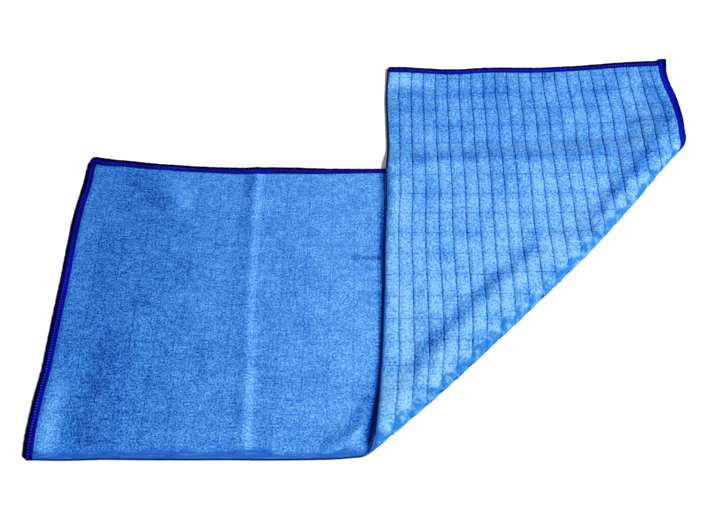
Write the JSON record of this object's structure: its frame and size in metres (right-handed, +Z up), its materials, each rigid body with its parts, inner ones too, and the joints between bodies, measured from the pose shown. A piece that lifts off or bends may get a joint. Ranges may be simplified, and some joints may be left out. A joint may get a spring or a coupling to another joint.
{
  "type": "microfibre cloth",
  "caption": "Rectangular microfibre cleaning cloth with a smooth face, a ribbed face and an overlocked edging, lying folded once on the diagonal.",
  "frame": {"origin": "middle of the laid cloth's box, on the surface that it lies on", "axes": "+Z up, +X along the plain front edge to the right, +Y away from the front edge towards the far edges"},
  "size_m": [0.5123, 0.3591, 0.011],
  "materials": {
    "microfibre": "matt plush microfibre knit, smooth on one face and ribbed on the other",
    "edging_thread": "close overlock stitching in a slightly shiny filament thread"
  },
  "bodies": {
    "root": {"cloth": "microfibre", "edging_left": "edging_thread", "edging_long": "edging_thread", "edging_end": "edging_thread"}
  },
  "joints": []
}
